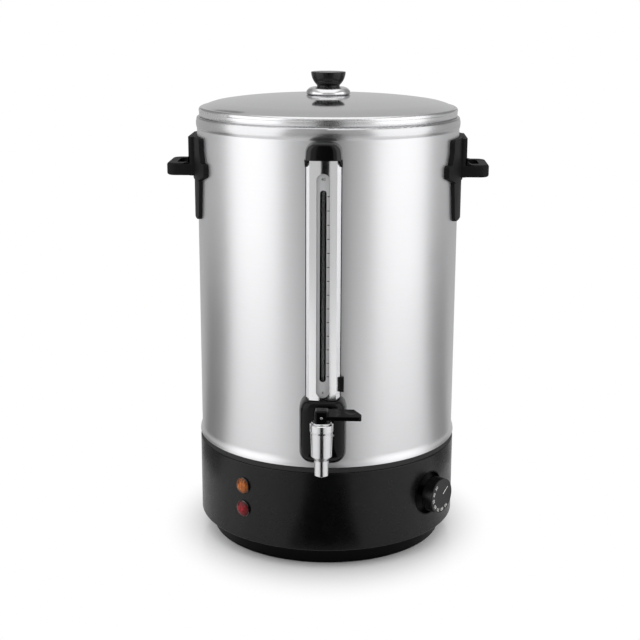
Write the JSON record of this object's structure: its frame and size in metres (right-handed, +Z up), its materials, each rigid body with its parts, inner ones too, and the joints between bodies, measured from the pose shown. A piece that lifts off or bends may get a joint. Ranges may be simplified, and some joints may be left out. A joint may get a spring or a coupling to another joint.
{
  "type": "hot water urn",
  "caption": "Electric catering urn: steel drum on a black base, lift-off lid with knob, level gauge, swivelling lever tap, thermostat dial, two lamps, two side handles.",
  "frame": {"origin": "on the floor, on the axis of the drum", "axes": "+Z up, -Y towards the front (the tap), +X to the right seen from the front"},
  "size_m": [0.44, 0.4453, 0.65],
  "materials": {
    "satin_steel": "satin",
    "polished_steel": "polished",
    "chromed_brass": "polished",
    "zinc_steel": "satin",
    "black_moulding": "glossy",
    "black_grip": "matte",
    "pale_moulding": "matte",
    "rubber": "matte",
    "silicone": "matte",
    "clear_tube": "clear",
    "amber": "translucent",
    "red": "translucent",
    "aluminium": "cast",
    "element_sheath": "matte",
    "brass": "satin",
    "copper": "satin",
    "ceramic": "glossy",
    "wire": "matte"
  },
  "bodies": {
    "urn": {"drum_shell": "satin_steel", "drum_floor": "satin_steel", "base_seal_ring": "rubber", "base_housing": "black_moulding", "bottom_cover": "zinc_steel", "base_pillars": "zinc_steel", "bottom_cover_screws": "zinc_steel", "foot_ring": "black_moulding", "foot_tread": "rubber", "heat_plate": "aluminium", "heating_element": "element_sheath", "element_terminals": "ceramic", "thermostat_bulb": "copper", "bulb_clip": "zinc_steel", "boil_dry_cutout": "pale_moulding", "dial_recess": "black_moulding", "thermostat_body": "pale_moulding", "lamp_bezels": "black_moulding", "amber_lens": "amber", "red_lens": "red", "lamp_bodies": "pale_moulding", "cord_gland": "black_grip", "gland_nut": "black_grip", "terminal_block": "pale_moulding", "wiring_loom": "wire", "capillary_tube": "copper", "handle_right": "black_grip", "handle_left": "black_grip", "handle_screws": "zinc_steel", "handle_washers": "silicone", "gauge_guard": "polished_steel", "gauge_scale_plate": "satin_steel", "gauge_back_rail": "black_grip", "sight_tube": "clear_tube", "tube_bottom_seal": "silicone", "tube_top_seal": "silicone", "gauge_cap": "black_moulding", "gauge_cap_screw": "zinc_steel", "tap_housing": "black_moulding", "tap_shank": "chromed_brass", "tap_lock_nut": "brass", "tap_washers": "silicone", "gauge_tee": "brass", "tap_body": "chromed_brass", "tap_nozzle": "chromed_brass", "bonnet_set_screw": "zinc_steel"},
    "lid": {"lid_shell": "polished_steel", "lid_knob_plate": "polished_steel", "lid_knob": "black_moulding", "lid_knob_screw": "zinc_steel"},
    "thermostat_dial": {"thermostat_knob": "black_moulding", "thermostat_shaft": "brass"},
    "tap_swivel": {"tap_bonnet": "chromed_brass"},
    "tap_valve": {"tap_stem": "zinc_steel", "seat_cup": "silicone", "tap_spring": "zinc_steel"},
    "lever": {"tap_lever": "black_moulding", "lever_pin": "zinc_steel"}
  },
  "joints": [
    {"name": "lid_lift", "type": "slide", "parent": "urn", "child": "lid", "axis": [0, 0, 1], "range_m": [0, 0.15]},
    {"name": "thermostat_turn", "type": "hinge", "parent": "urn", "child": "thermostat_dial", "pos_m": [0.15174, -0.11435, 0.084], "axis": [-0.7986, 0.6018, 0], "range_deg": [0, 270]},
    {"name": "lever_swivel", "type": "hinge", "parent": "urn", "child": "tap_swivel", "pos_m": [0, -0.235, 0.2265], "axis": [0, 0, -1], "range_deg": [-12, 192]},
    {"name": "stem_lift", "type": "slide", "parent": "tap_swivel", "child": "tap_valve", "axis": [0, 0, 1], "range_m": [0, 0.0036], "deforming": ["tap_spring"]},
    {"name": "lever_tilt", "type": "hinge", "parent": "tap_valve", "child": "lever", "pos_m": [0, -0.235, 0.2337], "axis": [0, 1, 0], "range_deg": [0, 25], "stiffness_Nm_per_rad": 0.3}
  ],
  "couplings": [
    {"joint": "stem_lift", "follows": "lever_tilt", "m_per_rad": 0.008}
  ]
}
